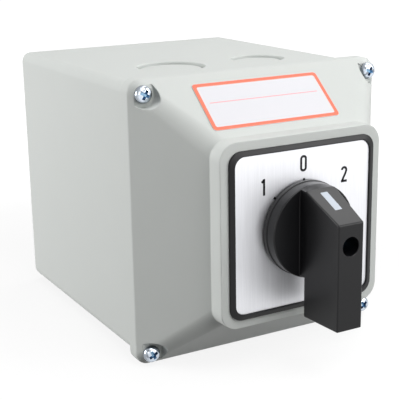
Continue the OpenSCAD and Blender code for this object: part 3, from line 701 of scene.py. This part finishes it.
def digitShapes(s):
    # Strokes of each number round its own middle
    h, w = s["height"] / 2 - s["stroke"] / 2, s["width"] / 2 - s["stroke"] / 2
    full = s["height"] / 2
    one = [[(s["stem"], -full), (s["stem"], full)], [(right, full - below) for right, below in s["flag"]]]
    oval, bend = [], w * 0.92
    cx, cy = w - bend, h - bend
    for cx, cy, start in ((cx, cy, 0), (-cx, cy, 90), (-cx, -cy, 180), (cx, -cy, 270)):
        for k in range(9):
            a = math.radians(start + 90 * k / 8)
            oval.append((cx + bend * math.cos(a), cy + bend * math.sin(a)))
    oval.append(oval[0])
    turns = [math.radians(175 - 17.5 * k) for k in range(12)]
    two = [(w * math.cos(a), h - w + w * math.sin(a)) for a in turns]
    two += [(w * right, h * up) for right, up in s["neck"]]
    foot = [(-w - s["foot"], -h), (w + s["foot"], -h)]
    return {"1": one, "0": [oval], "2": [two, foot]}


def makeDigits(s):
    shapes = digitShapes(s)
    for name, middle in s["places"].items():
        a = math.radians(s["ticks"]["turns"][name])
        out = Vector((-math.sin(a), math.cos(a)))
        bm = bmesh.new()
        for stroke in shapes[name]:
            ribbon(bm, [Vector(p) + Vector(middle) for p in stroke], s["stroke"], s["depth"], s["thick"])
        tick = [out * s["ticks"][end] for end in ("from", "to")]
        ribbon(bm, tick, s["ticks"]["width"], s["depth"], s["thick"])
        finishPiece(asObject("number" + name, bm), "black_plastic", finish=blackInk)


makeDigits(digits)
print("dial made")

# Handle: a disc and a drum with the grip across them
handle = {
    "back": 148.0, "backEdge": 0.15, "disc": 17.9, "discFront": 149.5, "discEdge": 0.2, "discStep": 0.1,
    "drum": 17.6, "drumFront": 154.1, "drumEdge": 0.45, "tailEdge": 0.6,
    "front": 175.7, "tailBack": 156.6, "halfFront": 5.3, "draft": 1.1 / 19.1, "tail": -31.0, "brow": 8.2,
    "slopeTop": 18.1, "rootLow": -16.0, "rootBack": 152.3, "edge": 0.5, "sideEdge": 0.5, "fillet": 0.15,
    "hole": 3.4, "holeEdge": 0.2, "holeRound": 0.15, "holeFloor": 163.9, "screwHole": 2.1,
    "socket": 4.1, "socketCorner": 0.3, "socketFloor": 159.9,
    "marker": {
        "half": 1.5, "start": 8.1, "length": 10.0, "corner": 0.35, "proud": 0.02,
        "depth": 0.4, "fit": 0.05, "pocketCorner": 0.45,
    },
}


def gripSection(s, depth, low, shrink=0.0, flare=0.0):
    # Outline of the grip at one depth, its corners rounded and its top kept inside the drum's circle
    half = s["halfFront"] + (s["front"] - depth) * s["draft"] - shrink + flare
    run = (s["front"] - depth) / (s["front"] - s["drumFront"])
    top = s["brow"] + (s["slopeTop"] - s["brow"]) * run - shrink
    low = low + shrink - flare
    r = max(0.12, s["sideEdge"] - shrink * 0.9) + flare
    path = []
    steps, across, along = 6, 12, 8
    x, high, deep = half - r, top - r, low + r
    corners = [(x, high, 0), (-x, high, 90), (-x, deep, 180), (x, deep, 270)]
    for i, (cx, cy, start) in enumerate(corners):
        arc = []
        for k in range(steps + 1):
            a = math.radians(start + 90 * k / steps)
            arc.append(Vector((cx + r * math.cos(a), cy + r * math.sin(a))))
        path += arc
        nx, ny, nextStart = corners[(i + 1) % 4]
        a = math.radians(nextStart)
        end = Vector((nx + r * math.cos(a), ny + r * math.sin(a)))
        parts = across if i in (0, 2) else along
        path += [arc[-1].lerp(end, k / parts) for k in range(1, parts)]
    limit = s["drum"] - 0.05 - shrink
    kept = []
    for p in path:
        if p.y > 0 and p.length > limit:
            p = p * (limit / p.length)
        kept.append(place(p.x, p.y, depth))
    return kept


def quarter(radius, steps):
    # Pairs of (distance along, distance in) round a quarter circle
    turns = [math.pi / 2 * k / steps for k in range(steps + 1)]
    return [(radius * math.sin(a), radius * (1 - math.cos(a))) for a in turns]


def gripSolid(s):
    # The grip from the back of its tail to its front face
    low, edge, depth = s["tail"], s["edge"], s["tailBack"] + s["tailEdge"]
    sections = [gripSection(s, depth - run, low, inward) for run, inward in quarter(s["tailEdge"], 3)[::-1]]
    while depth < s["front"] - edge - 1.2:
        depth += 1.0
        sections.append(gripSection(s, depth, low))
    start = s["front"] - edge
    sections += [gripSection(s, start + run, low, inward) for run, inward in quarter(edge, 5)]
    return asObject("grip", skin(sections))


def gripRoot(s):
    # The foot of the grip, flared where it meets the drum
    f, low, drum, tail = s["fillet"], s["rootLow"], s["drumFront"], s["tailBack"]
    sections = [gripSection(s, s["rootBack"], low, 0, f), gripSection(s, drum - 0.1, low, 0, f)]
    sections += [gripSection(s, drum + inward, low, 0, f - run) for run, inward in quarter(f, 5)]
    sections += [gripSection(s, tail + 1.0, low), gripSection(s, tail + 2.5, low, 0.3)]
    return asObject("root", skin(sections))


def gripSlope(s):
    # Matrix from (right, up the slope, out of it) to the grip's upper slope, its zero on the front edge
    rise, run = s["slopeTop"] - s["brow"], s["front"] - s["drumFront"]
    length = math.hypot(rise, run)
    up, out = place(0, rise / length, -run / length) / mm, place(0, run / length, rise / length) / mm
    turned = Matrix((Vector((1, 0, 0)), up, out)).transposed().to_4x4()
    return Matrix.Translation(place(0, s["brow"], s["front"])) @ turned


def makeHandle(s):
    r, b = s["disc"], s["back"]
    profile = [
        (r - 0.3, b, 0), (r, b, s["backEdge"]), (r, s["discFront"], s["discEdge"]),
        (s["drum"], s["discFront"] + s["discStep"], 0),
        (s["drum"], s["drumFront"], s["drumEdge"]), (2.0, s["drumFront"], 0),
    ]
    body = asObject("handleBody", lathe(profile, 96))
    combine(body, gripRoot(s), "UNION")
    combine(body, gripSolid(s), "UNION")
    hole, e, rounding, front = s["hole"], s["holeEdge"], s["holeRound"], s["front"]
    bore = [
        (hole, s["holeFloor"], 0), (hole, front - e, rounding), (hole + e, front, rounding),
        (hole + e + 1, front + 1, 0),
    ]
    combine(body, asObject("bore", lathe(bore, 48)))
    way = [(s["screwHole"], b - 2, 0), (s["screwHole"], s["holeFloor"] + 1, 0)]
    combine(body, asObject("screwWay", lathe(way, 32)))
    socket = [roundSquare(s["socket"], s["socketCorner"], d, 3) for d in (b - 2, s["socketFloor"])]
    combine(body, asObject("socket", skin(socket)))
    m, slope = s["marker"], gripSlope(s)
    middle = slope @ Matrix.Translation(Vector((0, m["start"] + m["length"] / 2, 0)) * mm)

    def barRings(fit, levels, corner):
        wide, long = 2 * (m["half"] + fit), m["length"] + 2 * fit
        return skin([flatRing(wide, long, corner, o) for o in levels], None, middle)

    combine(body, asObject("pocket", barRings(m["fit"], (-m["depth"], 1.5), m["pocketCorner"])))
    finishPiece(body, "black_plastic", "rotor", ["handle"], angle=34)
    bar = barRings(0, (-m["depth"], m["proud"]), m["corner"])
    finishPiece(asObject("markerBar", bar), "marker_white", "rotor", ["handle_marker"])


makeHandle(handle)
print("handle made")

# Springs wound from wire in place of their plain sleeves
springs = {
    "contact": {
        "outer": 3.7, "wire": 0.34, "length": 5.7, "inside": 21.3, "coils": 5.5,
        "depths": (115.0, 98.0, 81.0, 64.0), "slides": "_contacts",
    },
    "detent": {
        "outer": 2.6, "wire": 0.34, "length": 5.2, "inside": 22.3, "coils": 5.5,
        "depths": (128.4,), "slides": "_detent",
    },
}


def coil(bm, s, side, depth):
    # A coil along the X axis, its turns closer together at the ends
    wire, mean = s["wire"], s["outer"] - s["wire"]
    count, around, closing = int(s["coils"] * 20), 8, 0.06
    rows = []
    for k in range(count + 1):
        t = k / count
        a = 2 * math.pi * s["coils"] * t
        eased = t - closing * math.sin(2 * math.pi * t)
        x = s["inside"] + wire + (s["length"] - 2 * wire) * eased
        out = Vector((0, math.cos(a), math.sin(a)))
        row = []
        for j in range(around):
            b = 2 * math.pi * j / around
            p = Vector((x, 0, 0)) + out * (mean + wire * math.cos(b)) + Vector((wire * math.sin(b), 0, 0))
            row.append(bm.verts.new(place(side * p.x, p.z, depth + p.y)))
        rows.append(row)
    for low, high in zip(rows, rows[1:]):
        for j in range(around):
            bm.faces.new((low[j], low[(j + 1) % around], high[(j + 1) % around], high[j]))
    bm.faces.new(rows[0][::-1])
    bm.faces.new(rows[-1])


def makeSprings(allSprings):
    for kind, nodeName in (("contact", "contact_springs_"), ("detent", "detent_spring_")):
        s = allSprings[kind]
        for side, word in ((-1, "left"), (1, "right")):
            bm = bmesh.new()
            for depth in s["depths"]:
                coil(bm, s, side, depth)
            name = kind + "Coils" + word.capitalize()
            made = finishPiece(asObject(name, bm), "bare_steel", None, [nodeName + word], angle=60)
            # The points of the coil's outer and inner end
            ends = [place(side * x, 0, s["depths"][0]) for x in (s["inside"] + s["length"], s["inside"])]
            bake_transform(made)


makeSprings(springs)
print("springs made")


def addLamps(lamps):
    for name, s in lamps.items():
        data = bpy.data.lights.new(name, "AREA")
        data.shape, data.size, data.energy = "SQUARE", s["side"], s["watts"]
        lamp = bpy.data.objects.new(name, data)
        way = aim(s["azimuth"], s["elevation"])
        lamp.location = place(0, 0, 80) + way * s["distance"]
        lamp.rotation_euler = way.to_track_quat("Z", "Y").to_euler()
        scene.collection.objects.link(lamp)


def addSurroundings(s):
    world = bpy.data.worlds.new("surroundings")
    world.use_nodes = True
    scene.world = world
    tree = world.node_tree
    tree.nodes.clear()
    rays = tree.nodes.new("ShaderNodeLightPath")
    background = tree.nodes.new("ShaderNodeBackground")
    output = tree.nodes.new("ShaderNodeOutputWorld")
    seen = rays.outputs["Is Camera Ray"]
    for other in ("Is Glossy Ray", "Is Transmission Ray"):
        most = tree.nodes.new("ShaderNodeMath")
        most.operation = "MAXIMUM"
        tree.links.new(seen, most.inputs[0])
        tree.links.new(rays.outputs[other], most.inputs[1])
        seen = most.outputs[0]
    strength = tree.nodes.new("ShaderNodeMapRange")
    strength.inputs["To Min"].default_value = s["onObject"]
    strength.inputs["To Max"].default_value = s["seen"]
    tree.links.new(seen, strength.inputs["Value"])
    tree.links.new(strength.outputs[0], background.inputs["Strength"])
    background.inputs["Color"].default_value = (1, 1, 1, 1)
    tree.links.new(background.outputs[0], output.inputs["Surface"])


def addFloor(s):
    f = Finish("paleFloor", (s["floorColour"],) * 3, **{"Roughness": 0.9, "Specular IOR Level": 0.0})
    rays = f.tree.nodes.new("ShaderNodeLightPath")
    seen = Wire(f, rays.outputs["Is Camera Ray"]) + Wire(f, rays.outputs["Is Glossy Ray"])
    away = f.node("ShaderNodeVectorMath", {"operation": "LENGTH"}, {0: f.where}, 1)
    light = f.spread(away, s["glowNear"], s["glowFar"], s["near"] * mm, s["far"] * mm)
    glow = f.node("ShaderNodeEmission", None, {"Color": (1, 1, 1, 1), "Strength": seen * light})
    both = f.node("ShaderNodeAddShader", None, {0: Wire(f, f.shader.outputs[0]), 1: glow})
    f.tree.links.new(both.socket, f.tree.nodes["Material Output"].inputs["Surface"])
    bm = bmesh.new()
    corners = [(-12, -12), (12, -12), (12, 12), (-12, 12)]
    bm.faces.new([bm.verts.new((x, y, s["floorUp"] * mm)) for x, y in corners])
    floor = asObject("floor", bm)
    floor.data.materials.append(f.material)


addLamps(lampSet)
addSurroundings(surroundings)
addFloor(surroundings)
print("lights and floor made")
